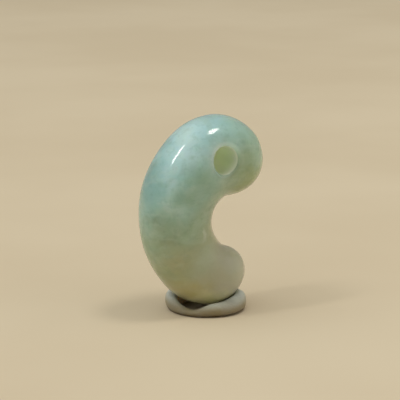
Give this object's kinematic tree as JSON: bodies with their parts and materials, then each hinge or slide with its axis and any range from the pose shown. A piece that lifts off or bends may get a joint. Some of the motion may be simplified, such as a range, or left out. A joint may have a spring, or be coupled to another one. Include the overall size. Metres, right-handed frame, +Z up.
{
  "type": "magatama bead on a ring stand",
  "caption": "Comma-shaped polished green stone bead with a cord hole drilled through its head, standing upright in a small ring of grey putty.",
  "frame": {"origin": "middle of the box round the part, on the surface that the ring stands on", "axes": "+Z up; +X from the comma's rounded back towards the open notch between head and tail; +Y along the cord hole, away from the side seen in the picture"},
  "size_m": [0.0142, 0.0089, 0.0204],
  "materials": {
    "jade": "polished, cloudy blue-green to olive",
    "putty": "matte, slightly kneaded"
  },
  "bodies": {
    "root": {"bead": "jade", "ring_stand": "putty"}
  },
  "joints": []
}
